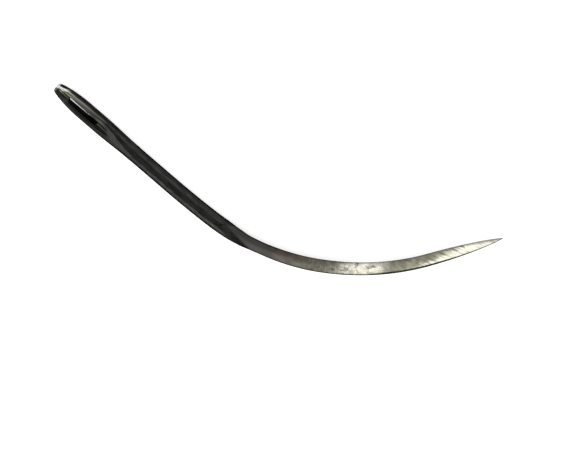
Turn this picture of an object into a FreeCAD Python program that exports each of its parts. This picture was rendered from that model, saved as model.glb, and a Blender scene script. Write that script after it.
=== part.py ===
import FreeCAD
import Part
import Sketcher

import math
import os

# A counterlining needle: a bent steel needle with a round shank, a flattened head with a long
# eye between two thread gutters, and a three-square ground blade that ends in a point.
#
# It lies flat. The shank runs along +X from the head, the bend turns the blade towards +Y,
# and the eye goes through the head along Z.

V = FreeCAD.Vector

# Driving dimensions, millimetres and degrees
SIZES = (
    ("wire_diameter", 2.34, "round wire that the needle is made from"),
    ("head_length", 8.2, "flattened part"),
    ("neck_length", 6.8, "from the flattened part to the round wire"),
    ("shank_run", 6.35, "straight round part after the neck"),
    ("lead_radius", 128.0, "first easy curve"),
    ("lead_angle", 3.3, "angle of the first easy curve"),
    ("bend_radius", 30.3, "main bend"),
    ("bend_angle", 34.0, "angle of the main bend"),
    ("sweep_radius", 41.2, "flatter curve after the main bend"),
    ("sweep_angle", 23.6, "angle of the flatter curve"),
    ("point_radius", 300.0, "almost straight part that is ground to the point"),
    ("point_angle", 2.4, "angle of that part"),
    ("head_width", 2.64, "across the two rails beside the eye"),
    ("head_thickness", 1.5, "between the two flattened faces"),
    ("head_corner", 0.4, "rounding of the rails"),
    ("nose_length", 5.2, "where the head narrows to its end"),
    ("nose_width", 1.08, "across the blunt end"),
    ("nose_thickness", 1.1, "through the blunt end"),
    ("nose_corner", 0.3, "rounding of the rails at the blunt end"),
    ("nose_rounding", 0.2, "rounding of the blunt end itself"),
    ("eye_start", 2.5, "from the head's end to the eye"),
    ("eye_length", 5.3, "along the shank"),
    ("eye_width", 0.8, "across the shank"),
    ("gutter_radius", 0.55, "round bottom of the thread gutters"),
    ("web_at_nose", 0.5, "steel left between the two gutters at the head's end"),
    ("web_at_tail", 0.9, "steel left between the two gutters where their tails start"),
    ("gutter_run", 7.4, "from the head's end to where the gutters' tails start"),
    ("gutter_rise", 9.0, "radius of the tails, which run out on the neck"),
    ("notch_width", 0.5, "fork in the head's end"),
    ("notch_depth", 0.5, "fork in the head's end"),
    ("grind_heel", 0.525, "from the centreline to each flat where the blade starts"),
    ("grind_belly", 0.56, "from the centreline to each flat in the middle of the blade"),
    ("grind_shoulder", 0.545, "from the centreline to each flat where the point starts"),
    ("run_out_gap", 0.6, "how far outside the wire the flats start"),
    ("tip_flat", 0.02, "from the centreline to each flat at the tip"),
)

# The centreline, from the head's end to the tip, as edges that run on into each other
CENTRELINE = (
    ("line", "head_length"),
    ("line", "neck_length"),
    ("line", "shank_run"),
    ("arc", "lead_radius", "lead_angle"),
    ("arc", "bend_radius", "bend_angle"),
    ("arc", "sweep_radius", "sweep_angle"),
    ("arc", "point_radius", "point_angle"),
)
HEAD, NECK, SHANK, LEAD, BEND, SWEEP, POINT = (f"Edge{number}" for number in range(1, 8))

# Stations, as shares of the length that they divide
NOSE_SHARES = (0.0, 0.06, 0.16, 0.32, 0.55, 1.0)
RUN_OUT_SHARES = (0.0, 0.1, 0.2, 0.3, 0.4, 0.5)
SWEEP_SHARES = (0.0, 1 / 3, 2 / 3)
POINT_SHARES = (0.0, 0.2, 0.38, 0.54, 0.68, 0.8, 0.89, 0.96, 1.0)

# The upper and the lower flat reach their full depth at the first of these shares of the main
# bend, and the outer flat at the second. At the next share the blade has grown by this much of
# the way from its heel to its belly.
SIDE_RUN_OUT = 0.38
OUTER_RUN_OUT = 0.5
SWELL_AT = 0.75
SWELL = 0.75

# How full the nose and the point are: a lower number is blunter
NOSE_FULLNESS = 0.8
POINT_FULLNESS = 0.75

doc = FreeCAD.newDocument("counterlining_needle")
sheet = doc.addObject("Spreadsheet::Sheet", "sizes")
for row, (name, value, note) in enumerate(SIZES, start=1):
    sheet.set(f"A{row}", name)
    sheet.set(f"B{row}", str(value))
    sheet.set(f"C{row}", note)
    sheet.setAlias(f"B{row}", name)
doc.recompute()


def size(name):
    """The sheet's number, used to draw a sketch close to its bound form."""
    return float(sheet.get(name))


def new_body(name):
    body = doc.addObject("PartDesign::Body", name)
    body.Label = name
    return body


def plane_sketch(body, name, role):
    sketch = body.newObject("Sketcher::SketchObject", name)
    plane = next(item for item in body.Origin.OriginFeatures if item.Role == role)
    sketch.AttachmentSupport = [(plane, "")]
    sketch.MapMode = "FlatFace"
    return sketch


def station(body, name, path, edge, share):
    """A sketch across the path, at a share of one edge. Its X points out of the bend."""
    sketch = body.newObject("Sketcher::SketchObject", name)
    sketch.AttachmentSupport = [(path, edge)]
    sketch.MapMode = "NormalToEdge"
    sketch.setExpression("MapPathParameter", str(share))
    return sketch


def bind(sketch, constraint, expression):
    """Adds a driving constraint whose value follows the sheet."""
    index = sketch.addConstraint(constraint)
    sketch.setExpression(f"Constraints[{index}]", expression)


def join(sketch, kind, *ends):
    sketch.addConstraint(Sketcher.Constraint(kind, *ends))


def checked_sketch(sketch):
    if sketch.solve() != 0:
        raise RuntimeError(f"{sketch.Name} has no solution")
    return sketch


def draw_centreline(body):
    """Draws the whole centreline in the XY plane and binds every length, radius and turn."""
    sketch = plane_sketch(body, f"{body.Name}_centreline", "XY_Plane")
    point, heading = V(0, 0, 0), 0.0
    for index, (kind, *names) in enumerate(CENTRELINE):
        if kind == "line":
            length = size(names[0])
            end = point + V(math.cos(heading), math.sin(heading), 0) * length
            sketch.addGeometry(Part.LineSegment(point, end), False)
            bind(sketch, Sketcher.Constraint("Distance", index, length), f"sizes.{names[0]}")
        else:
            radius, turn = size(names[0]), math.radians(size(names[1]))
            centre = point + V(-math.sin(heading), math.cos(heading), 0) * radius
            circle = Part.Circle(centre, V(0, 0, 1), radius)
            first = heading - math.pi / 2
            sketch.addGeometry(Part.ArcOfCircle(circle, first, first + turn), False)
            heading += turn
            end = centre + V(math.sin(heading), -math.cos(heading), 0) * radius
            bind(sketch, Sketcher.Constraint("Radius", index, radius), f"sizes.{names[0]}")
            bind(sketch, Sketcher.Constraint("Angle", index, turn), f"sizes.{names[1]} * 1 deg")
        if index:
            join(sketch, "Tangent", index - 1, 2, index, 1)
        point = end
    join(sketch, "Coincident", 0, 1, -1, 1)
    join(sketch, "Horizontal", 0)
    return checked_sketch(sketch)


def sweep_wire(body, name, path, edges):
    """Round wire along some of the centreline's edges."""
    profile = station(body, f"{name}_section", path, edges[0], 0.0)
    radius = size("wire_diameter") / 2
    profile.addGeometry(Part.Circle(V(0, 0, 0), V(0, 0, 1), radius), False)
    join(profile, "Coincident", 0, 3, -1, 1)
    bind(profile, Sketcher.Constraint("Radius", 0, radius), "sizes.wire_diameter / 2")
    doc.recompute()
    pipe = body.newObject("PartDesign::AdditivePipe", name)
    pipe.Profile = profile
    pipe.Spine = (path, list(edges))
    doc.recompute()


def draw_rail_section(sketch, halves, expressions):
    """A rounded rectangle: four quarter-round corners, then the four sides between them."""
    width, height, corner = halves
    across, up = width - corner, height - corner
    corners = ((across, up), (-across, up), (-across, -up), (across, -up))
    for number, (x, y) in enumerate(corners):
        first = number * math.pi / 2
        circle = Part.Circle(V(x, y, 0), V(0, 0, 1), corner)
        sketch.addGeometry(Part.ArcOfCircle(circle, first, first + math.pi / 2), False)
    for number in range(4):
        start = sketch.getPoint(number, 2)
        end = sketch.getPoint((number + 1) % 4, 1)
        sketch.addGeometry(Part.LineSegment(start, end), False)
    for number in range(4):
        join(sketch, "Tangent", number, 2, number + 4, 1)
        join(sketch, "Tangent", number + 4, 2, (number + 1) % 4, 1)
        join(sketch, "Vertical" if number % 2 else "Horizontal", number + 4)
    join(sketch, "Equal", 0, 1)
    join(sketch, "Equal", 0, 2)
    join(sketch, "Symmetric", 0, 3, 2, 3, -1, 1)
    width_text, height_text, corner_text = expressions
    bind(sketch, Sketcher.Constraint("Radius", 0, corner), corner_text)
    across_text, up_text = f"{width_text} - {corner_text}", f"{height_text} - {corner_text}"
    bind(sketch, Sketcher.Constraint("DistanceX", -1, 1, 0, 3, across), across_text)
    bind(sketch, Sketcher.Constraint("DistanceY", -1, 1, 0, 3, up), up_text)
    return checked_sketch(sketch)


def draw_split_circle(sketch):
    """The wire's circle in eight equal arcs, in the order of the rail section's edges."""
    radius, eighth = size("wire_diameter") / 2, math.pi / 4
    circle = Part.Circle(V(0, 0, 0), V(0, 0, 1), radius)
    middles = [(2 * number + 1) * eighth for number in range(4)]
    for middle in middles + [middle + eighth for middle in middles]:
        arc = Part.ArcOfCircle(circle, middle - eighth / 2, middle + eighth / 2)
        sketch.addGeometry(arc, False)
    for number in range(4):
        join(sketch, "Coincident", number, 2, number + 4, 1)
        join(sketch, "Coincident", number + 4, 2, (number + 1) % 4, 1)
    for number in range(8):
        join(sketch, "Coincident", number, 3, -1, 1)
    for number in range(7):
        sketch.addConstraint(Sketcher.Constraint("Angle", number, eighth))
    join(sketch, "Symmetric", 4, 1, 4, 2, -2)
    bind(sketch, Sketcher.Constraint("Radius", 0, radius), "sizes.wire_diameter / 2")
    return checked_sketch(sketch)


def taper(end_name, full_name, share, fullness):
    """Number and expression of a size that grows from a blunt end to its full value."""
    grown = (1 - (1 - share) ** 2) ** fullness
    number = size(end_name) + (size(full_name) - size(end_name)) * grown
    expression = f"(sizes.{end_name} + (sizes.{full_name} - sizes.{end_name}) * {grown})"
    return number, expression


def loft_through(body, name, sections):
    loft = body.newObject("PartDesign::AdditiveLoft", name)
    loft.Profile = sections[0]
    loft.Sections = sections[1:]
    doc.recompute()


def build_head(body, path):
    """Lofts from the blunt nose to the flattened head, and from there to the round wire."""
    sections = []
    for number, share in enumerate(NOSE_SHARES):
        place = f"sizes.nose_length * {share} / sizes.head_length"
        section = station(body, f"nose_section_{number}", path, HEAD, place)
        width = taper("nose_width", "head_width", share, NOSE_FULLNESS)
        thickness = taper("nose_thickness", "head_thickness", share, NOSE_FULLNESS)
        corner = taper("nose_corner", "head_corner", share, NOSE_FULLNESS)
        halves = (width[0] / 2, thickness[0] / 2, corner[0])
        draw_rail_section(section, halves, (f"{width[1]} / 2", f"{thickness[1]} / 2", corner[1]))
        sections.append(section)
    tail = station(body, "head_section", path, HEAD, 1.0)
    halves = (size("head_width") / 2, size("head_thickness") / 2, size("head_corner"))
    texts = ("sizes.head_width / 2", "sizes.head_thickness / 2", "sizes.head_corner")
    sections.append(draw_rail_section(tail, halves, texts))
    round_end = draw_split_circle(station(body, "neck_section", path, NECK, 1.0))
    doc.recompute()
    loft_through(body, "head_blank", sections)
    loft_through(body, "neck", [tail, round_end])


def edges_inside(shape, low, high):
    """Names of the edges that lie wholly between two corners."""
    box = FreeCAD.BoundBox(low, high)
    return [
        f"Edge{number}"
        for number, edge in enumerate(shape.Edges, start=1)
        if box.isInside(edge.BoundBox)
    ]


def round_nose(body):
    """Rounds the rim of the blunt end."""
    base = body.Tip
    reach = size("head_width")
    rim = edges_inside(base.Shape, V(-0.01, -reach, -reach), V(0.01, reach, reach))
    fillet = body.newObject("PartDesign::Fillet", "nose_round")
    fillet.Base = (base, rim)
    fillet.Radius = size("nose_rounding")
    fillet.setExpression("Radius", "sizes.nose_rounding")
    doc.recompute()


def cut_gutters(body):
    """A round-bottomed gutter over the head, deepest at the nose, and its mirror image."""
    route = plane_sketch(body, "gutter_route", "XZ_Plane")
    radius, rise, run = size("gutter_radius"), size("gutter_rise"), size("gutter_run")
    at_nose = size("web_at_nose") / 2 + radius
    at_tail = size("web_at_tail") / 2 + radius
    slope = math.atan2(at_tail - at_nose, run)
    route.addGeometry(Part.LineSegment(V(0, at_nose, 0), V(run, at_tail, 0)), False)
    centre = V(run - rise * math.sin(slope), at_tail + rise * math.cos(slope), 0)
    circle = Part.Circle(centre, V(0, 0, 1), rise)
    first, turn = slope - math.pi / 2, math.radians(30)
    route.addGeometry(Part.ArcOfCircle(circle, first, first + turn), False)
    join(route, "Tangent", 0, 2, 1, 1)
    join(route, "PointOnObject", 0, 1, -2)
    nose_text = "sizes.web_at_nose / 2 + sizes.gutter_radius"
    tail_text = "sizes.web_at_tail / 2 + sizes.gutter_radius"
    bind(route, Sketcher.Constraint("DistanceY", -1, 1, 0, 1, at_nose), nose_text)
    bind(route, Sketcher.Constraint("DistanceY", -1, 1, 0, 2, at_tail), tail_text)
    bind(route, Sketcher.Constraint("DistanceX", 0, 1, 0, 2, run), "sizes.gutter_run")
    bind(route, Sketcher.Constraint("Radius", 1, rise), "sizes.gutter_rise")
    route.addConstraint(Sketcher.Constraint("Angle", 1, turn))
    checked_sketch(route)

    profile = station(body, "gutter_section", route, "Edge1", 0.0)
    profile.addGeometry(Part.Circle(V(0, 0, 0), V(0, 0, 1), radius), False)
    join(profile, "Coincident", 0, 3, -1, 1)
    bind(profile, Sketcher.Constraint("Radius", 0, radius), "sizes.gutter_radius")
    doc.recompute()
    gutter = body.newObject("PartDesign::SubtractivePipe", "gutter")
    gutter.Profile = profile
    gutter.Spine = (route, ["Edge1", "Edge2"])
    doc.recompute()
    mirror = body.newObject("PartDesign::Mirrored", "both_gutters")
    mirror.Originals = [gutter]
    plane = next(item for item in body.Origin.OriginFeatures if item.Role == "XY_Plane")
    mirror.MirrorPlane = (plane, [""])
    body.Tip = mirror
    doc.recompute()


def cut_slot(body, name, start, length, width):
    """A round-ended slot through the head. Each size is a number and its expression."""
    sketch = plane_sketch(body, f"{name}_outline", "XY_Plane")
    radius = width[0] / 2
    near, far = start[0] + radius, start[0] + length[0] - radius
    sketch.addGeometry(Part.LineSegment(V(near, radius, 0), V(far, radius, 0)), False)
    sketch.addGeometry(Part.LineSegment(V(far, -radius, 0), V(near, -radius, 0)), False)
    quarter = math.pi / 2
    ends = (((far, 0), -quarter, quarter), ((near, 0), quarter, 3 * quarter))
    for (x, y), first, last in ends:
        circle = Part.Circle(V(x, y, 0), V(0, 0, 1), radius)
        sketch.addGeometry(Part.ArcOfCircle(circle, first, last), False)
    join(sketch, "Tangent", 0, 2, 2, 2)
    join(sketch, "Tangent", 2, 1, 1, 1)
    join(sketch, "Tangent", 1, 2, 3, 2)
    join(sketch, "Tangent", 3, 1, 0, 1)
    join(sketch, "Horizontal", 0)
    join(sketch, "PointOnObject", 2, 3, -1)
    bind(sketch, Sketcher.Constraint("Radius", 2, radius), f"{width[1]} / 2")
    near_text = f"{start[1]} + {width[1]} / 2"
    bind(sketch, Sketcher.Constraint("DistanceX", -1, 1, 3, 3, near), near_text)
    span_text = f"{length[1]} - {width[1]}"
    bind(sketch, Sketcher.Constraint("DistanceX", 3, 3, 2, 3, far - near), span_text)
    checked_sketch(sketch)
    doc.recompute()
    slot = body.newObject("PartDesign::Pocket", name)
    slot.Profile = sketch
    slot.Type = "ThroughAll"
    slot.SideType = "Symmetric"
    doc.recompute()


def cut_eye_and_notch(body):
    start, length, width = (size("eye_start"), size("eye_length"), size("eye_width"))
    eye = ((start, "sizes.eye_start"), (length, "sizes.eye_length"), (width, "sizes.eye_width"))
    cut_slot(body, "eye", *eye)
    depth, width = size("notch_depth"), size("notch_width")
    notch = (
        (-depth, "-sizes.notch_depth"),
        (2 * depth, "2 * sizes.notch_depth"),
        (width, "sizes.notch_width"),
    )
    cut_slot(body, "notch", *notch)


def draw_triangle(sketch, side, outer):
    """Three flats about the centreline, with one corner towards the bend's inside.

    side is the distance to the upper and the lower flat, and outer to the outer one. Each is
    a number and its expression.
    """
    half = (2 * side[0] + outer[0]) / math.sqrt(3)
    edge, above, below = V(-2 * side[0], 0, 0), V(outer[0], half, 0), V(outer[0], -half, 0)
    sketch.addGeometry(Part.LineSegment(edge, below), False)
    sketch.addGeometry(Part.LineSegment(below, above), False)
    sketch.addGeometry(Part.LineSegment(above, edge), False)
    for number in range(3):
        join(sketch, "Coincident", number, 2, (number + 1) % 3, 1)
    join(sketch, "PointOnObject", 0, 1, -1)
    join(sketch, "Symmetric", 1, 1, 1, 2, -1)
    corner_text = f"2 * ({side[1]})"
    bind(sketch, Sketcher.Constraint("DistanceX", 0, 1, -1, 1, 2 * side[0]), corner_text)
    bind(sketch, Sketcher.Constraint("DistanceX", -1, 1, 1, 2, outer[0]), outer[1])
    height_text = f"2 * (2 * ({side[1]}) + {outer[1]}) / sqrt(3)"
    bind(sketch, Sketcher.Constraint("DistanceY", 1, 1, 1, 2, 2 * half), height_text)
    return checked_sketch(sketch)


def build_grind(body, path):
    """The three flats as a loft of triangles: run-out, heel, belly and point."""
    radius, gap = size("wire_diameter") / 2, size("run_out_gap")
    heel, belly = size("grind_heel"), size("grind_belly")
    shoulder, tip = size("grind_shoulder"), size("tip_flat")
    sections = []

    def add(edge, share, side, outer=None):
        section = station(body, f"flats_{len(sections)}", path, edge, share)
        sections.append(draw_triangle(section, side, outer or side))

    def run_out(share, end):
        left = (1 - min(share / end, 1)) ** 2
        start_text = "sizes.wire_diameter / 2 + sizes.run_out_gap"
        text = f"(sizes.grind_heel + ({start_text} - sizes.grind_heel) * {left})"
        return heel + (radius + gap - heel) * left, text

    for share in RUN_OUT_SHARES:
        add(BEND, share, run_out(share, SIDE_RUN_OUT), run_out(share, OUTER_RUN_OUT))
    flat = heel + (belly - heel) * SWELL
    text = f"(sizes.grind_heel + (sizes.grind_belly - sizes.grind_heel) * {SWELL})"
    add(BEND, SWELL_AT, (flat, text))
    for share in SWEEP_SHARES:
        add(SWEEP, share, (belly, "sizes.grind_belly"))
    for share in POINT_SHARES:
        left = (1 - share ** 2) ** POINT_FULLNESS
        flat = tip + (shoulder - tip) * left
        text = f"(sizes.tip_flat + (sizes.grind_shoulder - sizes.tip_flat) * {left})"
        add(POINT, share, (flat, text))
    doc.recompute()
    loft_through(body, "three_flats", sections)


shank = new_body("shank")
shank_path = draw_centreline(shank)
doc.recompute()
build_head(shank, shank_path)
round_nose(shank)
cut_gutters(shank)
cut_eye_and_notch(shank)
sweep_wire(shank, "round_shank", shank_path, (SHANK, LEAD))

blank = new_body("blade_wire")
blank_path = draw_centreline(blank)
doc.recompute()
sweep_wire(blank, "round_blade", blank_path, (BEND, SWEEP, POINT))

grind = new_body("blade_grind")
grind_path = draw_centreline(grind)
doc.recompute()
build_grind(grind, grind_path)

blade = doc.addObject("Part::Common", "blade")
blade.Base = blank
blade.Tool = grind
doc.recompute()

needle = doc.addObject("Part::Fuse", "needle")
needle.Label = "needle"
needle.Base = shank
needle.Tool = blade
doc.recompute()

# The origin is under the middle of the needle's box, on the surface that it lies on
box = needle.Shape.optimalBoundingBox(False, False)
needle.Placement.Base = V(-box.Center.x, -box.Center.y, -box.ZMin)
doc.recompute()

for item in doc.Objects:
    if "Invalid" in item.State or "Error" in item.State:
        raise RuntimeError(f"{item.Name} failed: {item.State}")
if needle.Shape.isNull() or not needle.Shape.isValid() or len(needle.Shape.Solids) != 1:
    raise RuntimeError("needle is not one valid solid")

os.makedirs("parts", exist_ok=True)
needle.Shape.exportStep("parts/needle.step")
box = needle.Shape.optimalBoundingBox(False, False)
print("needle", round(needle.Shape.Volume, 3), "mm3", box)
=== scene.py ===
import math

import bmesh
import bpy
import numpy as np
from mathutils import Matrix, Vector


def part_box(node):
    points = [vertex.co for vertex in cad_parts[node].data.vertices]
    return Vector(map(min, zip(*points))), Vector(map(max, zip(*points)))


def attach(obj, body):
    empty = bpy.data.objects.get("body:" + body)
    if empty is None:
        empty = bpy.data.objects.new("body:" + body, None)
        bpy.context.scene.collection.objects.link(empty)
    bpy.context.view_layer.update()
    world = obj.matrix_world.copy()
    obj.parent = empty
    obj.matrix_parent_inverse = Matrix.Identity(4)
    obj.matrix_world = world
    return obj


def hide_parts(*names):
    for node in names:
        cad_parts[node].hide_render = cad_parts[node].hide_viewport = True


# A counterlining needle: a bent steel needle with a round shank, a flattened head with a long
# eye between two thread gutters, and a three-square ground blade.
#
# The needle is drawn straight first, in millimetres: s runs along the centreline from the
# head's end, w points out of the bend and z is up. Then it is bent along the centreline.

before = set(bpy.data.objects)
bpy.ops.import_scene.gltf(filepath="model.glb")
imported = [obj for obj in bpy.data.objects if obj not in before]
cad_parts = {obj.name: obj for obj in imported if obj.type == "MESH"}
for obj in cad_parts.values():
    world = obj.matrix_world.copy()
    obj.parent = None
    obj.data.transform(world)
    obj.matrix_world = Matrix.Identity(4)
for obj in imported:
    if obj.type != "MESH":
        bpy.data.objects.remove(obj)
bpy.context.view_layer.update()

MM = 0.001

# Centreline: straight length, then radius and turn of each curve
STRAIGHT = 21.35
CURVES = ((128.0, 3.3), (30.3, 34.0), (41.2, 23.6), (300.0, 2.4))

# Head and wire: half width, half height and corner radius of the head and of its nose. A
# corner takes at most LARGEST_CORNER of the smaller half
WIRE_RADIUS = 1.17
HEAD_LENGTH = 8.2
NECK_LENGTH = 6.8
HEAD_HALVES = (1.32, 0.75, 0.4)
NOSE_HALVES = (0.54, 0.55, 0.3)
NOSE_LENGTH = 5.2
NOSE_FULLNESS = 0.8
NOSE_ROUNDING = 0.2
LARGEST_CORNER = 0.95

# Thread gutters: straight for the run, then rising out of the steel at the radius of the rise,
# with a web between the upper and the lower one
GUTTER_RADIUS = 0.55
GUTTER_RUN = 7.4
GUTTER_RISE = 9.0
GUTTER_RISE_SHARE = 0.9
HALF_WEB_AT_NOSE = 0.25
HALF_WEB_AT_TAIL = 0.45
RAIL_EDGE = 0.12

# Eye and notch, each a round-ended slot with rounded rims. The notch is open at the head's end
EYE_START = 2.5
EYE_END = 7.8
EYE_HALF = 0.4
EYE_RIM = 0.06
EYE_EDGE = EYE_HALF + EYE_RIM
EYE_AXIS = (EYE_START + EYE_HALF, EYE_END - EYE_HALF)
NOTCH_END = 0.5
NOTCH_HALF = 0.25
NOTCH_RIM = 0.05
NOTCH_EDGE = NOTCH_HALF + NOTCH_RIM
NOTCH_AXIS = (-1.0, NOTCH_END - NOTCH_HALF)

# Blade: shares of the bend for the run-out of the flats at the sides and of the outer one,
# and distances from the centreline to the flats
SIDE_RUN_OUT = 0.38
OUTER_RUN_OUT = 0.5
RUN_OUT_GAP = 0.6
HEEL = 0.525
BELLY = 0.56
SHOULDER = 0.545
TIP = 0.02
POINT_FULLNESS = 0.75
CORNER_BLEND = 0.07
RUN_OUT_BLEND = 0.03
CROWN = 0.03
GROUND_EDGE = 0.04

# Mesh: for a quarter of the section, columns that fan out round its side, columns in the band
# beside a slot and columns over the slot. Then places along a rim's rounding, the spacing of
# the rows, and the length in which rows behind the eye straighten
FAN = 18
RIM = 4
INNER = 16
QUARTER = FAN + RIM + INNER
ROUND = 4 * QUARTER
RIM_BAND = 0.09
RIM_CURVE = (0.25, 0.5, 0.75, 1.0)
NOSE_ROWS = 8
HEAD_STEP = 0.1
SHANK_STEP = 0.25
BLADE_STEP = 0.15
EYE_FADE = 2.5

# Between these places the columns turn from the head's directions to the blade's, which crowd
# towards the corners by these shares on the outer flat and on the others
TURN_START = 12.0
TURN_END = 24.0
OUTER_CROWDING = 0.5
SIDE_CROWDING = 0.6

# Steps along a ray, each by a share of the distance that is left
TRACE_STEPS = 90
TRACE_SHARE = 0.9


def smooth_step(value):
    value = np.clip(value, 0, 1)
    return value * value * (3 - 2 * value)


def smooth_max(a, b, blend):
    """The larger of two distances, rounded over where they meet."""
    near = np.maximum(blend - np.abs(a - b), 0) / blend
    return np.maximum(a, b) + near * near * blend / 4


def curve_starts():
    """s, place, heading and curvature where each piece of the centreline starts, and its length."""
    pieces = [(0.0, 0.0, 0.0, 0.0, 0.0)]
    x, y, heading, s = STRAIGHT, 0.0, 0.0, STRAIGHT
    for radius, degrees in CURVES:
        turn = math.radians(degrees)
        pieces.append((s, x, y, heading, 1 / radius))
        x += radius * (math.sin(heading + turn) - math.sin(heading))
        y += radius * (math.cos(heading) - math.cos(heading + turn))
        heading += turn
        s += radius * turn
    return np.array(pieces), s


PIECES, LENGTH = curve_starts()
BEND_START, SWEEP_START, POINT_START = PIECES[2:5, 0]


def centreline(s):
    """Place and heading at each s."""
    piece = PIECES[np.searchsorted(PIECES[:, 0], s, side="right") - 1]
    start, x, y, heading, curvature = np.moveaxis(piece, -1, 0)
    past = s - start
    turned = heading + curvature * past
    straight = curvature == 0
    safe = np.where(straight, 1, curvature)
    along = np.where(straight, past, (np.sin(turned) - np.sin(heading)) / safe)
    aside = np.where(straight, 0, (np.cos(heading) - np.cos(turned)) / safe)
    return x + along, y + aside, turned


def blank_halves(s):
    """Half width, half height and corner radius of the head, the neck and the wire."""
    grown = (1 - (1 - np.clip(s / NOSE_LENGTH, 0, 1)) ** 2) ** NOSE_FULLNESS
    necked = smooth_step((s - HEAD_LENGTH) / NECK_LENGTH)
    into = NOSE_ROUNDING - np.clip(s, 0, NOSE_ROUNDING)
    inset = NOSE_ROUNDING - np.sqrt(NOSE_ROUNDING ** 2 - into ** 2)
    halves = []
    for nose, head in zip(NOSE_HALVES, HEAD_HALVES):
        halves.append((nose + (head - nose) * grown) * (1 - necked) + WIRE_RADIUS * necked)
    width, height = halves[0] - inset, halves[1] - inset
    corner = np.minimum(halves[2], LARGEST_CORNER * np.minimum(width, height))
    return width, height, np.where(necked >= 1, WIRE_RADIUS, corner)


def gutter_height(s):
    """Height of the gutter's axis above the centreline."""
    run = np.clip(s / GUTTER_RUN, 0, 1)
    web = HALF_WEB_AT_NOSE + (HALF_WEB_AT_TAIL - HALF_WEB_AT_NOSE) * run
    past = np.clip(s - GUTTER_RUN, 0, GUTTER_RISE_SHARE * GUTTER_RISE)
    return web + GUTTER_RADIUS + GUTTER_RISE - np.sqrt(GUTTER_RISE ** 2 - past ** 2)


def flat_depth(s, run_out_end):
    """Distance from the centreline to a flat of the blade."""
    bend = (s - BEND_START) / (SWEEP_START - BEND_START)
    left = (1 - np.clip(bend / run_out_end, 0, 1)) ** 2
    run_out = HEEL + (WIRE_RADIUS + RUN_OUT_GAP - HEEL) * left
    swell = 1 - (1 - np.clip((bend - OUTER_RUN_OUT) / (1 - OUTER_RUN_OUT), 0, 1)) ** 2
    thinning = smooth_step((s - SWEEP_START) / (POINT_START - SWEEP_START))
    point = np.clip((s - POINT_START) / (LENGTH - POINT_START), 0, 1)
    ground = run_out + (BELLY - HEEL) * swell - (BELLY - SHOULDER) * thinning
    return TIP + (ground - TIP) * (1 - point ** 2) ** POINT_FULLNESS


def blade_share(s):
    """0 where the blade's flats start and 1 where they are full."""
    return smooth_step((s - BEND_START) / (SWEEP_START - BEND_START) / OUTER_RUN_OUT)


def flats(s, w, z):
    """Distance to the three flats, a little crowned and rounded at their corners."""
    depths = [flat_depth(s, end) for end in (OUTER_RUN_OUT, SIDE_RUN_OUT, SIDE_RUN_OUT)]
    side = math.sqrt(3) * depths[1]
    crown = CROWN * blade_share(s) * depths[1] / BELLY
    planes = []
    for number, depth in enumerate(depths):
        angle = number * math.tau / 3
        out = w * math.cos(angle) + z * math.sin(angle)
        across = z * math.cos(angle) - w * math.sin(angle)
        planes.append(out - depth - crown * (1 - (across / side) ** 2))
    blend = CORNER_BLEND * depths[1] / BELLY
    return smooth_max(smooth_max(planes[0], planes[1], blend), planes[2], blend)


def field(s, w, z):
    """Distance to the needle's surface, below 0 inside. The eye and the notch aren't in it."""
    width, height, corner = blank_halves(s)
    beside, above = np.abs(w) - (width - corner), np.abs(z) - (height - corner)
    outside = np.hypot(np.maximum(beside, 0), np.maximum(above, 0))
    blank = outside + np.minimum(np.maximum(beside, above), 0) - corner
    gutter = GUTTER_RADIUS - np.hypot(w, np.abs(z) - gutter_height(s))
    headed = smooth_max(blank, gutter, RAIL_EDGE)
    return np.where(s < BEND_START, headed, smooth_max(blank, flats(s, w, z), RUN_OUT_BLEND))


def trace(s, w, across, up):
    """Follows rays from (w, 0) to the surface. Returns w and z where they reach it."""
    reached = np.zeros_like(s)
    for _ in range(TRACE_STEPS):
        reached -= TRACE_SHARE * field(s, w + reached * across, reached * up)
    return w + reached * across, reached * up


def row_places():
    """s of each row, and the rows at the centres of the slots' round ends."""
    nose = NOSE_ROUNDING * (1 - np.cos(np.linspace(0, math.pi / 2, NOSE_ROWS)))
    stops = [NOSE_ROUNDING, NOTCH_AXIS[1], *EYE_AXIS, TURN_START, TURN_END, LENGTH]
    steps = [HEAD_STEP] * 4 + [SHANK_STEP, BLADE_STEP]
    rows = list(nose)
    for start, end, step in zip(stops, stops[1:], steps):
        count = math.ceil((end - start) / step)
        rows += list(np.linspace(start, end, count + 1)[1:])
    marks = [int(np.argmin(np.abs(np.array(rows) - stop))) for stop in stops[1:4]]
    return np.array(rows), marks


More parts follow.
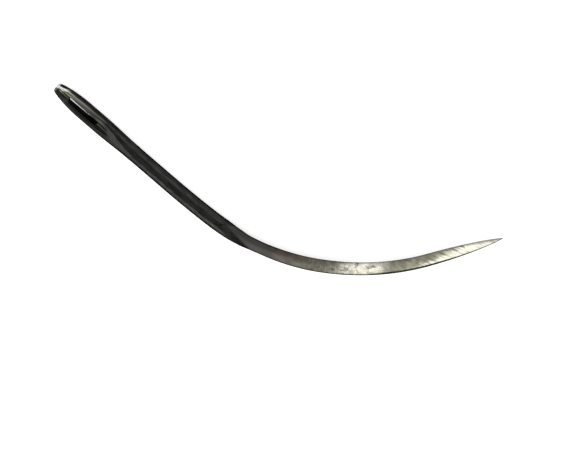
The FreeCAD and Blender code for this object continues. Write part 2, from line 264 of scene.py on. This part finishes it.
def column_rays(rows):
    """Start, direction and share of the cut-out's width of each column, for each row.

    On the head the rays start on the section's middle line, and those over the gutter go
    straight up or down. On the blade they start on the centreline, three of them at corners.
    """
    quarter = np.arange(QUARTER + 1)
    fan = np.clip(quarter / FAN, 0, 1)
    rim = np.clip((quarter - FAN) / RIM, 0, 1)
    inner = np.clip((quarter - FAN - RIM) / INNER, 0, 1)
    half_fan = np.concatenate([fan, 2 - fan[-2::-1]])
    half_rim = np.concatenate([rim, rim[-2::-1]])
    half_inner = np.concatenate([inner, inner[-2::-1]])
    half_side = np.concatenate([np.ones(QUARTER), [0], -np.ones(QUARTER)])

    opened = smooth_step((rows - NOTCH_AXIS[1]) / (EYE_AXIS[0] - NOTCH_AXIS[1]))
    edge = NOTCH_EDGE + (EYE_EDGE - NOTCH_EDGE) * opened
    width = blank_halves(rows)[0]
    outer = np.minimum(edge + RIM_BAND, (edge + width) / 2)
    start = outer[:, None] * (1 - half_rim) + edge[:, None] * half_rim
    start = start * (1 - half_inner) * half_side
    head_angle = half_fan * math.pi / 2

    outer_flat = np.linspace(0, 1, FAN + 1)
    side_flat = np.linspace(0, 1, 2 * QUARTER - FAN + 1)
    outer_flat = outer_flat + OUTER_CROWDING * (np.sin(outer_flat * math.pi / 2) - outer_flat)
    side_flat = side_flat - SIDE_CROWDING * np.sin(math.tau * side_flat) / math.tau
    corner = math.pi / 3
    blade_angle = np.concatenate([outer_flat * corner, corner + side_flat[1:] * 2 * corner])

    turned = smooth_step((rows - TURN_START) / (TURN_END - TURN_START))[:, None]
    start = start * (1 - turned)
    angle = head_angle * (1 - turned) + blade_angle * turned
    share = np.where(half_rim < 1, 1, 1 - half_inner)
    lower = slice(-2, 0, -1)
    return (
        np.concatenate([start, start[:, lower]], axis=1),
        np.concatenate([angle, -angle[:, lower]], axis=1),
        np.concatenate([share, share[lower]]),
    )


def needle_grid():
    """s, w and z of the grid, and the rows at the centres of the slots' round ends."""
    rows, marks = row_places()
    start, angle, share = column_rays(rows)
    s = np.repeat(rows[:, None], ROUND, axis=1)
    bulge = np.sqrt(1 - share ** 2)
    notch_end, eye_start, eye_end = rows[marks]
    between = np.clip((rows - notch_end) / (eye_start - notch_end), 0, 1)
    after = smooth_step((rows - eye_end) / EYE_FADE)
    notch_push = np.where(rows < notch_end, 0, NOTCH_EDGE * (1 - between))
    eye_push = EYE_EDGE * np.where(rows < (eye_start + eye_end) / 2, -between, 1 - after)
    s = s + (notch_push + eye_push)[:, None] * bulge
    w, z = trace(s, start, np.cos(angle), np.sin(angle))
    return np.stack([s, w, z], axis=-1), marks


class Shell:
    """Vertices and faces of the needle while it is put together."""

    def __init__(self, grid, extra):
        self.rows = grid.shape[0]
        self.points = [grid.reshape(-1, 3)]
        self.extra = [extra.reshape(-1, 2)]
        self.count = self.rows * ROUND
        self.faces = []

    def at(self, row, column):
        """Number of the vertex at a place of the grid."""
        return row * ROUND + column % ROUND

    def add(self, points, extra):
        """Adds points that share their extra values, and returns the number of the first."""
        first = self.count
        self.points.append(np.array(points))
        self.extra.append(np.tile(extra, (len(points), 1)))
        self.count += len(points)
        return first

    def close(self):
        """Points, faces and extra values, without the vertices that no face uses."""
        used = sorted({corner for face in self.faces for corner in face})
        number = {old: new for new, old in enumerate(used)}
        faces = [[number[corner] for corner in face] for face in self.faces]
        return np.concatenate(self.points)[used], faces, np.concatenate(self.extra)[used]


def in_slot(row, column, marks):
    """True for a face of the grid that the eye or the notch takes away."""
    notch_end, eye_start, eye_end = marks
    quarter = min(column % (2 * QUARTER), (2 * QUARTER - 1 - column) % (2 * QUARTER))
    over = quarter >= FAN + RIM
    return over and (row < notch_end or eye_start <= row < eye_end)


def slot_wall(shell, grid, extra, border, axis, rounding, closed):
    """The wall of a slot, rounded at both rims. Returns its vertices by place on the border."""
    low, high = axis
    loops = []
    for row, column in border:
        s, w, z = grid[row, column]
        to_axis = np.array([np.clip(s, low, high) - s, -w])
        inward = to_axis / np.linalg.norm(to_axis)
        rim_s, rim_w = s + inward[0] * rounding, w + inward[1] * rounding
        top = trace(np.array([rim_s]), np.array([rim_w]), np.zeros(1), np.ones(1))[1][0]
        outline = np.array([[s, w, z], [rim_s, rim_w, top], [rim_s, rim_w, top - rounding]])
        rim = []
        for share in RIM_CURVE:
            weights = ((1 - share) ** 2, 2 * share * (1 - share), share ** 2)
            rim.append(sum(weight * point for weight, point in zip(weights, outline)))
        below = [point * (1, 1, -1) for point in reversed(rim)]
        middle = [np.array([rim_s, rim_w, 0.0])]
        first = shell.add(rim + middle + below, extra[row, column])
        count = len(rim) * 2 + 1
        ends = (shell.at(row, column), shell.at(row, -column))
        loops.append([ends[0], *range(first, first + count), ends[1]])
    pairs = zip(loops, loops[1:] + loops[:1]) if closed else zip(loops, loops[1:])
    for one, other in pairs:
        for number in range(len(one) - 1):
            shell.faces.append([one[number], one[number + 1], other[number + 1], other[number]])
    return loops


def close_prong(shell, side, wall, rim_column):
    """The end of one side of the notch, from its outer edge to the notch's wall."""
    step = 1 if side == 0 else -1
    shell.faces.append([shell.at(0, side), shell.at(0, side + step), shell.at(0, side - step)])
    for number in range(1, rim_column - 1):
        shell.faces.append([
            shell.at(0, side + step * number),
            shell.at(0, side + step * (number + 1)),
            shell.at(0, side - step * (number + 1)),
            shell.at(0, side - step * number),
        ])
    upper, lower = side + step * (rim_column - 1), side - step * (rim_column - 1)
    shell.faces.append([shell.at(0, upper), *wall, shell.at(0, lower)])


def build_shell(grid, marks, extra):
    """Points, faces and extra values of the closed needle."""
    shell = Shell(grid, extra)
    for row in range(shell.rows - 1):
        for column in range(ROUND):
            if not in_slot(row, column, marks):
                places = ((row, column), (row, column + 1), (row + 1, column + 1), (row + 1, column))
                shell.faces.append([shell.at(*place) for place in places])

    notch_end, eye_start, eye_end = marks
    first, last = FAN + RIM, 2 * QUARTER - FAN - RIM
    side_rows = range(eye_start + 1, eye_end)
    eye_border = [(eye_start, column) for column in range(first, last + 1)]
    eye_border += [(row, last) for row in side_rows]
    eye_border += [(eye_end, column) for column in range(last, first - 1, -1)]
    eye_border += [(row, first) for row in reversed(side_rows)]
    slot_wall(shell, grid, extra, eye_border, EYE_AXIS, EYE_RIM, True)

    notch_border = [(row, first) for row in range(notch_end)]
    notch_border += [(notch_end, column) for column in range(first, last + 1)]
    notch_border += [(row, last) for row in range(notch_end - 1, -1, -1)]
    walls = slot_wall(shell, grid, extra, notch_border, NOTCH_AXIS, NOTCH_RIM, False)
    close_prong(shell, 0, walls[0], first)
    close_prong(shell, 2 * QUARTER, walls[-1], first)

    last_row = shell.rows - 1
    tip = shell.add([[LENGTH, 0.0, 0.0]], extra[last_row, 0])
    for column in range(ROUND):
        shell.faces.append([shell.at(last_row, column), shell.at(last_row, column + 1), tip])
    return shell.close()


def bend(points, origin):
    """Puts straight points on the bent centreline, in metres."""
    s, w, z = points.T
    x, y, heading = centreline(np.minimum(s, LENGTH))
    placed = np.stack([x + w * np.sin(heading), y - w * np.cos(heading), z], axis=-1)
    return (placed + origin) * MM


def girth_of(grid):
    """Distance round the section from the line inside the bend, the same above and below."""
    inner = 2 * QUARTER
    upper = grid[:, inner::-1, 1:]
    steps = np.linalg.norm(np.diff(upper, axis=1), axis=2)
    girth = np.concatenate([np.zeros((len(grid), 1)), np.cumsum(steps, axis=1)], axis=1)
    return np.concatenate([girth[:, ::-1], girth[:, 1:-1]], axis=1)


def ground_share(s, w, z):
    """1 on the blade's flats and 0 on the round wire between them."""
    round_part = np.hypot(w, z) - WIRE_RADIUS
    on_flat = smooth_step(0.5 + (flats(s, w, z) - round_part) / GROUND_EDGE)
    return np.where(s < BEND_START, 0.0, on_flat)


def build_needle(origin):
    """The needle, with what its material reads at each point.

    unrolled: s, girth and z. edges: distance from the corner beside the outer flat, w, and
    share of ground flat.
    """
    grid, marks = needle_grid()
    girth = girth_of(grid)
    corner = np.abs(girth - girth[:, FAN:FAN + 1])
    points, faces, extra = build_shell(grid, marks, np.stack([girth, corner], axis=-1))
    mesh = bpy.data.meshes.new("needle_steel")
    mesh.from_pydata(bend(points, origin).tolist(), [], faces)
    s, w, z = points.T
    unrolled = np.stack([s, extra[:, 0], z], axis=-1)
    edges = np.stack([extra[:, 1], w, ground_share(s, w, z)], axis=-1)
    for name, values in (("unrolled", unrolled), ("edges", edges)):
        attribute = mesh.attributes.new(name, "FLOAT_VECTOR", "POINT")
        attribute.data.foreach_set("vector", values.astype(np.float32).ravel())
    work = bmesh.new()
    work.from_mesh(mesh)
    bmesh.ops.recalc_face_normals(work, faces=work.faces)
    work.to_mesh(mesh)
    work.free()
    mesh.shade_smooth()
    piece = bpy.data.objects.new("needle_steel", mesh)
    bpy.context.scene.collection.objects.link(piece)
    return piece


# Camera: an image of 570 by 456 pixels, with the middle of the head's end at HEAD_PIXEL
IMAGE = (570, 456)
HEAD_PIXEL = (56.33, 86.47)
MM_PER_PIXEL = 0.1422
TILT = math.radians(34.0)
ROLL = math.radians(40.68)
DISTANCE = 400.0
CLIP_START = 0.01
CLIP_END = 5.0

# Floor: half its side in metres, its colour, and how it glows for the camera and in mirrors
FLOOR_REACH = 1.5
FLOOR_COLOUR = (0.8, 0.8, 0.8, 1)
FLOOR_ROUGHNESS = 0.9
FLOOR_GLOW_SEEN = 0.7
FLOOR_GLOW_MIRRORED = 0.05

# World: white up to the first height, and darkening to this level at the second
SKY_HEIGHTS = (0.3, 0.78)
OVERHEAD_LEVEL = 0.38

# Light: each lamp's name, direction, size in metres and brightness
LAMP_DISTANCE = 2.0
LAMPS = (
    ("shank_lamp", (0.0, -0.67, 0.74), (1.5, 1.3), 1.35),
    ("blade_lamp", (-0.655, 0.07, 0.75), (0.28, 0.28), 1.7),
    ("point_lamp", (-0.72, -0.14, 0.68), (0.42, 0.42), 1.45),
    ("fill_lamp", (0.60, 0.25, 0.75), (1.4, 1.4), 1.5),
)


def view_axes():
    """Right, up and towards the camera."""
    side = Vector((0, math.cos(TILT), -math.sin(TILT)))
    along = Vector((1, 0, 0))
    right = along * math.cos(ROLL) + side * math.sin(ROLL)
    up = side * math.cos(ROLL) - along * math.sin(ROLL)
    return right, up, right.cross(up)


def build_camera(origin):
    right, up, back = view_axes()
    offset = (IMAGE[0] / 2 - HEAD_PIXEL[0], HEAD_PIXEL[1] - IMAGE[1] / 2)
    aim = Vector(origin) + (right * offset[0] + up * offset[1]) * MM_PER_PIXEL
    data = bpy.data.cameras.new("camera")
    data.type = "ORTHO"
    data.ortho_scale = IMAGE[0] * MM_PER_PIXEL * MM
    data.clip_start = CLIP_START
    data.clip_end = CLIP_END
    camera = bpy.data.objects.new("camera", data)
    turn = Matrix((right, up, back)).transposed().to_4x4()
    camera.matrix_world = Matrix.Translation((aim + back * DISTANCE) * MM) @ turn
    bpy.context.scene.collection.objects.link(camera)
    bpy.context.scene.camera = camera


class Graph:
    """Nodes made by short calls. A value is a number, a colour, a vector or another's output."""

    def __init__(self, tree):
        self.tree = tree

    def node(self, kind, values=(), **settings):
        made = self.tree.nodes.new("ShaderNode" + kind)
        for name, setting in settings.items():
            setattr(made, name, setting)
        for key, value in dict(values).items():
            self.put(made.inputs[key], value)
        return made

    def put(self, socket, value):
        """Links or sets an input. A colour is three numbers."""
        if isinstance(value, bpy.types.NodeSocket):
            self.tree.links.new(value, socket)
        elif socket.type == "RGBA":
            socket.default_value = (*value, 1)
        else:
            socket.default_value = value

    def math(self, operation, *values):
        return self.node("Math", enumerate(values), operation=operation).outputs[0]

    def times(self, product, *others):
        """The product of all its values."""
        for other in others:
            product = self.math("MULTIPLY", product, other)
        return product

    def line(self, value, slope, start):
        """start plus slope times the value."""
        return self.math("MULTIPLY_ADD", value, slope, start)

    def around(self, noise, amount, middle):
        """middle plus amount times what the noise is above its own middle."""
        return self.line(self.math("SUBTRACT", noise, 0.5), amount, middle)

    def span(self, value, low, high, first=0.0, last=1.0):
        """Goes smoothly from first, where the value is low, to last, where it is high."""
        values = {"Value": value, "From Min": low, "From Max": high, "To Min": first, "To Max": last}
        return self.node("MapRange", values, interpolation_type="SMOOTHSTEP").outputs[0]

    def between(self, value, start, full, fade, end):
        """1 from full to fade, and goes smoothly to 0 at start and at end."""
        return self.times(self.span(value, start, full), self.span(value, end, fade))

    def mix(self, share, one, other, blend="MIX"):
        made = self.node("Mix", data_type="RGBA", blend_type=blend)
        values = {"Factor": share, "A": one, "B": other}
        for socket in made.inputs:
            if socket.enabled:
                self.put(socket, values[socket.name])
        return next(socket for socket in made.outputs if socket.enabled)

    def dim(self, colour, level):
        """A colour times a level."""
        return self.mix(1.0, colour, self.vector(level, level, level), "MULTIPLY")

    def vector(self, x, y, z):
        return self.node("CombineXYZ", enumerate((x, y, z))).outputs[0]

    def noise(self, vector, scale, detail, roughness):
        values = {"Vector": vector, "Scale": scale, "Detail": detail, "Roughness": roughness}
        return self.node("TexNoise", values).outputs[0]

    def attribute(self, name):
        """The three parts of a vector that the mesh carries."""
        found = self.node("Attribute", attribute_name=name).outputs["Vector"]
        return self.node("SeparateXYZ", [(0, found)]).outputs


def new_material(name):
    material = bpy.data.materials.new(name)
    material.use_nodes = True
    return material, Graph(material.node_tree), material.node_tree.nodes["Principled BSDF"]


def build_floor():
    """A pale floor that glows for the camera and in mirrors, so that it is nearly white."""
    reach = FLOOR_REACH
    corners = [(-reach, -reach, 0), (reach, -reach, 0), (reach, reach, 0), (-reach, reach, 0)]
    mesh = bpy.data.meshes.new("floor")
    mesh.from_pydata(corners, [], [(0, 1, 2, 3)])
    floor = bpy.data.objects.new("floor", mesh)
    bpy.context.scene.collection.objects.link(floor)
    material, graph, shader = new_material("floor")
    shader.inputs["Base Color"].default_value = FLOOR_COLOUR
    shader.inputs["Roughness"].default_value = FLOOR_ROUGHNESS
    shader.inputs["Specular IOR Level"].default_value = 0.0
    path = graph.node("LightPath").outputs
    mirrored = graph.math("MAXIMUM", path["Is Glossy Ray"], path["Is Transmission Ray"])
    glow = graph.times(path["Is Camera Ray"], FLOOR_GLOW_SEEN)
    shader.inputs["Emission Color"].default_value = (1, 1, 1, 1)
    graph.put(shader.inputs["Emission Strength"], graph.line(mirrored, FLOOR_GLOW_MIRRORED, glow))
    mesh.materials.append(material)


def build_lamp(name, direction, size, radiance):
    """A soft lamp that looks at the needle from a direction."""
    data = bpy.data.lights.new(name, "AREA")
    data.shape = "RECTANGLE"
    data.size, data.size_y = size
    data.energy = radiance * math.pi * size[0] * size[1]
    lamp = bpy.data.objects.new(name, data)
    lamp.location = Vector(direction).normalized() * LAMP_DISTANCE
    lamp.rotation_mode = "QUATERNION"
    lamp.rotation_quaternion = Vector(direction).to_track_quat("Z", "Y")
    bpy.context.scene.collection.objects.link(lamp)


def build_world():
    """Grey overhead and white at the horizon and below."""
    world = bpy.data.worlds.new("studio")
    world.use_nodes = True
    graph = Graph(world.node_tree)
    background = world.node_tree.nodes["Background"]
    generated = graph.node("TexCoord").outputs["Generated"]
    height = graph.node("SeparateXYZ", [(0, generated)]).outputs["Z"]
    level = graph.span(height, *SKY_HEIGHTS, 1.0, OVERHEAD_LEVEL)
    graph.put(background.inputs["Color"], graph.vector(level, level, level))
    bpy.context.scene.world = world


# Colours of the head: scale, a rail that the thread rubs, painted light as a highlight, the crest
# of the worn gutter, painted lighter as a highlight, and its wall, painted highlights on worn steel
# and on the end of the outer prong
SCALE = (0.038, 0.038, 0.036)
RUBBED_RAIL_HIGHLIGHT = (0.40, 0.37, 0.33)
OLIVE_CREST_HIGHLIGHT = (0.55, 0.55, 0.42)
OLIVE_WALL = (0.21, 0.21, 0.13)
WORN_HIGHLIGHT = (0.97, 0.955, 0.9)
OUTER_PRONG_HIGHLIGHT = (0.35, 0.34, 0.31)

# Colours of the blade in their order along it. A pair is for the inner half of the section, painted
# darker as shade, and for the outer one, and the last is painted shade on the dull part beside the
# inner corner
GREY = ((0.105, 0.102, 0.097), (0.19, 0.185, 0.17))
BROWN = ((0.13, 0.103, 0.09), (0.27, 0.24, 0.20))
GREEN = ((0.21, 0.20, 0.155), (0.34, 0.33, 0.26))
BRIGHT = (0.68, 0.66, 0.56)
DULL = (0.33, 0.32, 0.24)
DULL_NEAR_POINT = (0.45, 0.43, 0.31)
DULL_IN_PAINTED_SHADE = (0.14, 0.137, 0.11)

# Where each of them turns into the next, in mm along the centreline
BARE_FROM = (33.6, 35.2)
TO_BROWN = (37.5, 41.0)
TO_GREEN = (40.0, 46.0)
TO_BRIGHT = (47.2, 51.2)
TO_DULL = (55.0, 58.4)
STREAKY_FROM = (56.0, 60.0)

# Where marks start, are full, fade and end
FORGED = (34.0, 42.0, 61.0, 67.0)
DENTED = (38.0, 44.0, 55.0, 60.0)
PITTED = (43.0, 47.0, 56.0, 58.0)
WHEEL_MARKS_FROM = (54.0, 60.0)

# Noises: scale, detail and roughness
MOTTLE = (1.8, 5.0, 0.7)
STREAKS = (1.0, 4.0, 0.65)
PATCHES = (1.2, 1.5, 0.55)
PITS = (1.3, 1.0, 0.5)
DENTS = (0.9, 0.5, 0.5)
DRAWN = (1.0, 3.0, 0.5)
GRAIN = (6.0, 3.0, 0.5)

# Heights in mm of dents, of the marks of drawing and grinding, and of grain
DENT_HEIGHT = 0.024
MARK_HEIGHT = 0.003
GRAIN_HEIGHT = 0.0005

SCALE_ROUGHNESS = 0.25
GRAZING_TINT = (0.2, 0.2, 0.2, 1)


def build_steel():
    """Black scale on the head and the shank, and bare steel on the flats of the blade."""
    material, graph, shader = new_material("needle_steel")
    s, girth, z = graph.attribute("unrolled")
    corner, side, flat = graph.attribute("edges")
    slant = streaks(graph, s, girth, z)
    steel, roughness = blade_steel(graph, s, girth, z, slant)
    scale = head_steel(graph, s, girth, z, side)

    # The flats stay dark along their outer corners, in a line that is widest past the middle
    growing, closing = graph.span(s, 53.0, 57.5, 0.14, 0.28), graph.span(s, 62.0, 75.0, 0.28, 0.09)
    line = graph.math("MINIMUM", growing, closing)
    land = graph.span(graph.math("SUBTRACT", corner, line), -0.04, 0.06)
    started = graph.span(graph.line(side, -3.0, s), *BARE_FROM)
    bare = graph.times(flat, land, started)

    # Before they are bare, they are darker than the wire
    scale = graph.dim(scale, graph.line(flat, graph.span(s, 33.0, 31.0, 0.0, -0.45), 1.0))
    graph.put(shader.inputs["Base Color"], graph.mix(bare, scale, steel))
    scaled = graph.math("SUBTRACT", 1.0, bare)
    roughness = graph.line(scaled, SCALE_ROUGHNESS, graph.times(bare, roughness))
    graph.put(shader.inputs["Roughness"], roughness)
    shader.inputs["Metallic"].default_value = 1.0
    shader.inputs["Specular Tint"].default_value = GRAZING_TINT
    height = surface_marks(graph, s, girth, z, flat, slant)
    bump = graph.node("Bump", {"Strength": 1.0, "Distance": MM, "Height": height})
    graph.put(shader.inputs["Normal"], bump.outputs[0])
    return material


def head_steel(graph, s, girth, z, side):
    """Black scale, worn along one rail of the head, with painted highlights on that rail, its worn
    corner and both prongs' ends, and painted shade on the outer side.
    """
    mottle = graph.noise(graph.vector(graph.times(s, 0.35), girth, z), *MOTTLE)
    scale = graph.dim(SCALE, graph.span(mottle, 0.34, 0.66, 0.62, 1.45))

    # The inner rail is rubbed along its edge over the gutter, and the rubbed band is painted light
    # as a highlight
    inner_rail = graph.span(side, 0.1, -0.1)
    edge = graph.between(girth, 0.45, 0.72, 0.76, 1.02)
    scale = graph.mix(graph.times(edge, graph.span(s, 9.5, 3.0), inner_rail), scale, RUBBED_RAIL_HIGHLIGHT)

    # Olive where the thread has worn the wall of the gutter, and a little behind the eye. The crest
    # is painted lighter than the wall as a highlight
    wall = graph.between(girth, 0.36, 0.5, 1.35, 1.7)
    nose = graph.between(s, 0.45, 0.9, 1.8, 3.4)
    rubbed = graph.line(graph.between(s, 6.8, 7.8, 8.2, 9.0), 0.1, nose)
    olive = graph.mix(graph.span(girth, 0.5, 0.7), OLIVE_CREST_HIGHLIGHT, OLIVE_WALL)
    scale = graph.mix(graph.times(rubbed, wall, inner_rail), scale, olive)

    # Painted shade: the scale is darker on the outer side of the head and on the outer half of the
    # neck
    head = graph.times(graph.between(s, 2.0, 4.0, 8.5, 15.5), graph.span(side, -0.1, 0.6))
    neck = graph.times(graph.between(s, 9.0, 11.0, 17.0, 19.0), graph.span(side, -0.35, -0.05))
    scale = graph.dim(scale, graph.times(graph.line(head, -0.5, 1.0), graph.line(neck, -0.2, 1.0)))

    # Painted highlight along the worn upper corner of the inner prong, and on both prongs' ends
    middle = graph.span(s, 0.9, 2.3, 0.6, 0.1)
    off = graph.math("ABSOLUTE", graph.math("SUBTRACT", girth, middle))
    bevel_highlight = graph.times(graph.span(off, 0.3, 0.2), graph.span(s, 2.4, 1.1))
    bevel_highlight = graph.times(bevel_highlight, inner_rail, graph.span(z, 0.0, 0.2))
    scale = graph.mix(bevel_highlight, scale, WORN_HIGHLIGHT)
    end = graph.mix(inner_rail, OUTER_PRONG_HIGHLIGHT, WORN_HIGHLIGHT)
    return graph.mix(graph.span(s, 0.4, 0.2), scale, end)


def streaks(graph, s, girth, z):
    """Marks of a wheel that slant across the flats."""
    slanted = graph.times(graph.line(girth, -1.6, s), 1.7)
    aside = graph.times(graph.line(s, 0.6, girth), 0.35)
    return graph.noise(graph.vector(slanted, aside, z), *STREAKS)


def blade_steel(graph, s, girth, z, slant):
    """Bare steel that gets brighter along the blade. Returns its colour and its roughness."""
    # Painted shade: each colour is darker on the inner half of the section
    outer = graph.span(girth, 0.55, 1.2)
    grey, brown, green = [graph.mix(outer, *pair) for pair in (GREY, BROWN, GREEN)]
    steel = graph.dim(grey, graph.span(s, 33.0, 36.5, 0.75, 1.05))
    steel = graph.mix(graph.span(s, *TO_BROWN), steel, brown)
    steel = graph.mix(graph.span(s, *TO_GREEN), steel, green)
    sooner = graph.math("ADD", s, graph.line(girth, 1.2, -1.3))
    steel = graph.mix(graph.span(sooner, *TO_BRIGHT), steel, BRIGHT)
    dull = graph.mix(graph.span(s, 58.0, 66.0), DULL, DULL_NEAR_POINT)
    # Painted shade on the dull part beside the inner corner
    dull = graph.mix(graph.span(girth, 1.6, 0.2, 0.0, 0.5), dull, DULL_IN_PAINTED_SHADE)
    steel = graph.mix(graph.span(graph.around(slant, 2.0, s), *TO_DULL), steel, dull)

    # Lighter and darker patches where the forging marks are
    stretched = graph.times(s, graph.span(s, 44.0, 50.0, 0.5, 0.85))
    patches = graph.noise(graph.vector(stretched, girth, z), *PATCHES)
    patches = graph.line(graph.span(patches, 0.36, 0.6), -0.36, 0.23)
    steel = graph.dim(steel, graph.line(patches, graph.between(s, *FORGED), 1.0))

    # A few dark pits
    pits = graph.noise(graph.vector(graph.times(s, 0.7), girth, z), *PITS)
    pits = graph.times(graph.span(pits, 0.56, 0.68), graph.between(s, *PITTED))
    steel = graph.dim(steel, graph.line(pits, -0.55, 1.0))

    # The point is ground again, over a ragged border that slants across the flat
    border = graph.line(slant, -1.9, graph.line(s, -0.178, 13.53))
    point = graph.span(graph.math("SUBTRACT", girth, border), -0.5, 0.5)
    steel = graph.mix(point, steel, BRIGHT)
    steel = graph.dim(steel, graph.around(slant, graph.span(s, *STREAKY_FROM, 0.0, 1.9), 1.0))

    # Painted shade beside the inner corner, in a line that widens towards the point
    beside = graph.math("DIVIDE", girth, graph.span(s, 69.0, 72.0, 1.0, 1.9))
    darkest = graph.span(s, 38.0, 44.0, 0.1, 0.45)
    steel = graph.dim(steel, graph.span(beside, 0.04, 0.32, darkest, 1.0))

    smoother, rougher = graph.span(s, 44.0, 50.0, 0.34, 0.2), graph.span(s, 55.0, 58.0, 0.0, 0.22)
    return steel, graph.line(point, -0.24, graph.math("ADD", smoother, rougher))


def surface_marks(graph, s, girth, z, flat, slant):
    """Height in millimetres of grain, dents of forging, and marks of drawing and grinding."""
    place = graph.vector(s, girth, z)
    dents = graph.times(graph.noise(place, *DENTS), graph.between(s, *DENTED), DENT_HEIGHT)
    drawn = graph.vector(graph.times(s, 0.4), graph.times(girth, 4.0), z)
    later = graph.span(s, *WHEEL_MARKS_FROM)
    drawn = graph.times(graph.noise(drawn, *DRAWN), graph.math("SUBTRACT", 1.0, later))
    marks = graph.line(slant, later, drawn)
    height = graph.line(marks, graph.times(flat, MARK_HEIGHT), dents)
    return graph.line(graph.noise(place, *GRAIN), GRAIN_HEIGHT, height)


needle_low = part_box("needle")[0] / MM
head_end = np.array([needle_low.x, needle_low.y + HEAD_HALVES[0], needle_low.z + WIRE_RADIUS])

needle = build_needle(head_end)
needle.data.materials.append(build_steel())
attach(needle, "root")
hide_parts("needle")

build_floor()
for lamp in LAMPS:
    build_lamp(*lamp)
build_world()
build_camera(head_end)

scene = bpy.context.scene
scene.view_settings.view_transform = "Standard"
